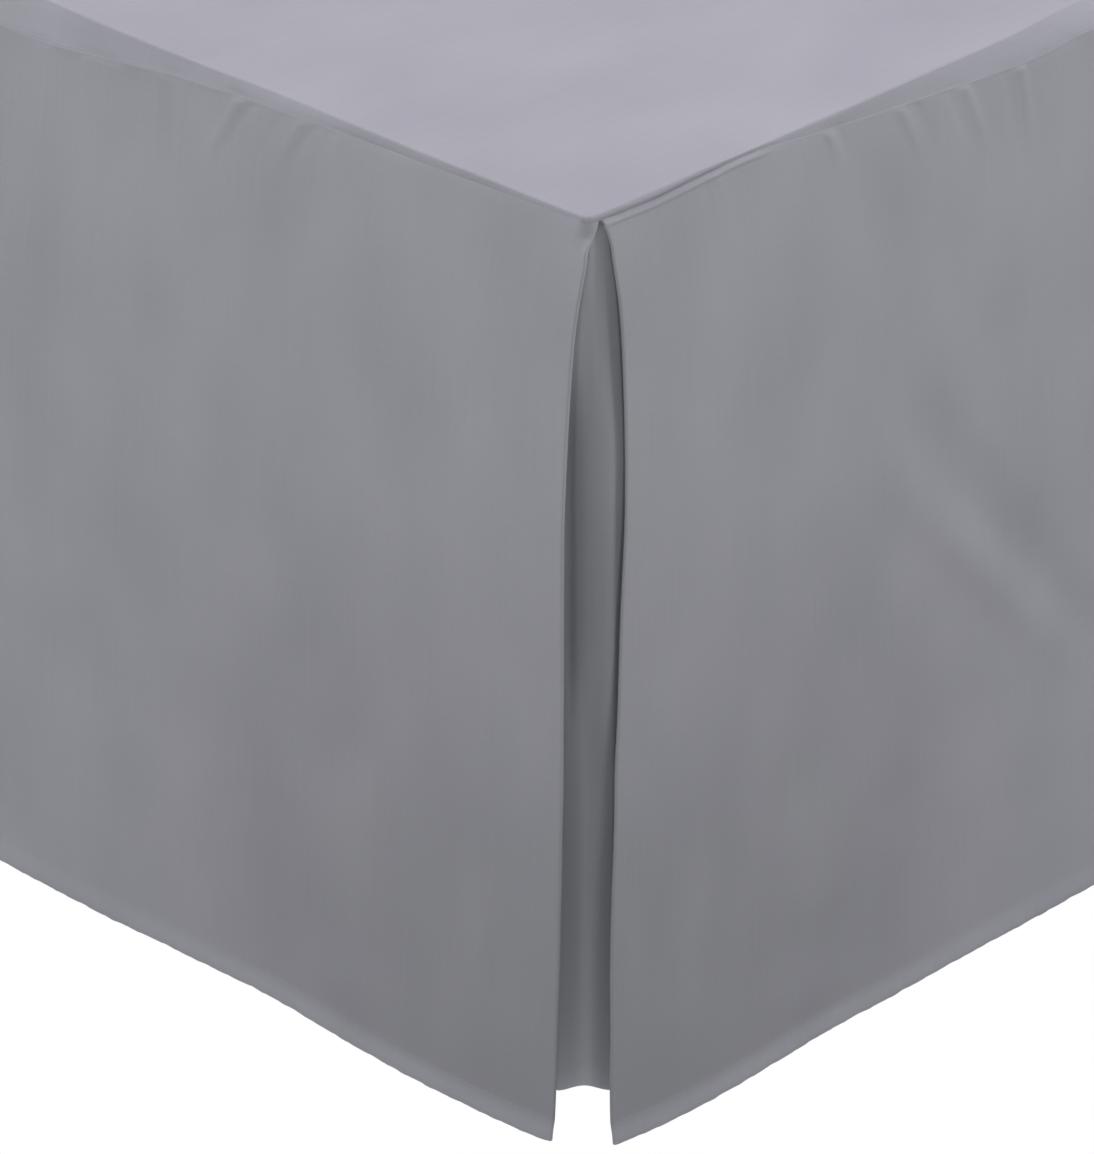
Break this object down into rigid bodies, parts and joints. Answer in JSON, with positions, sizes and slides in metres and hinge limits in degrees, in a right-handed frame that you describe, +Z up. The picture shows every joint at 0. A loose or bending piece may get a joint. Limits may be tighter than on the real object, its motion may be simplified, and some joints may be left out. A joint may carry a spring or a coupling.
{
  "type": "bed skirt on a bed base",
  "caption": "Plain tailored bed skirt with a flat deck, straight drops on three sides and split foot corners with insets, hung over a plain bed base on legs.",
  "frame": {"origin": "on the floor, under the middle of the footprint", "axes": "+Z up, +Y along the bed from its foot to its head, +X to the right side of someone who stands at the foot and looks at the bed"},
  "size_m": [1.6113, 2.0757, 0.385],
  "materials": {
    "skirt_cloth": "matt brushed microfibre",
    "base_cover": "matt woven cover",
    "leg_wood": "satin stained wood"
  },
  "bodies": {
    "root": {"deck": "skirt_cloth", "drop_foot": "skirt_cloth", "drop_left": "skirt_cloth", "drop_right": "skirt_cloth", "inset_left": "skirt_cloth", "inset_right": "skirt_cloth", "bed_base": "base_cover", "leg_foot_left": "leg_wood", "leg_foot_right": "leg_wood", "leg_middle_left": "leg_wood", "leg_middle_right": "leg_wood", "leg_head_left": "leg_wood", "leg_head_right": "leg_wood"}
  },
  "joints": []
}
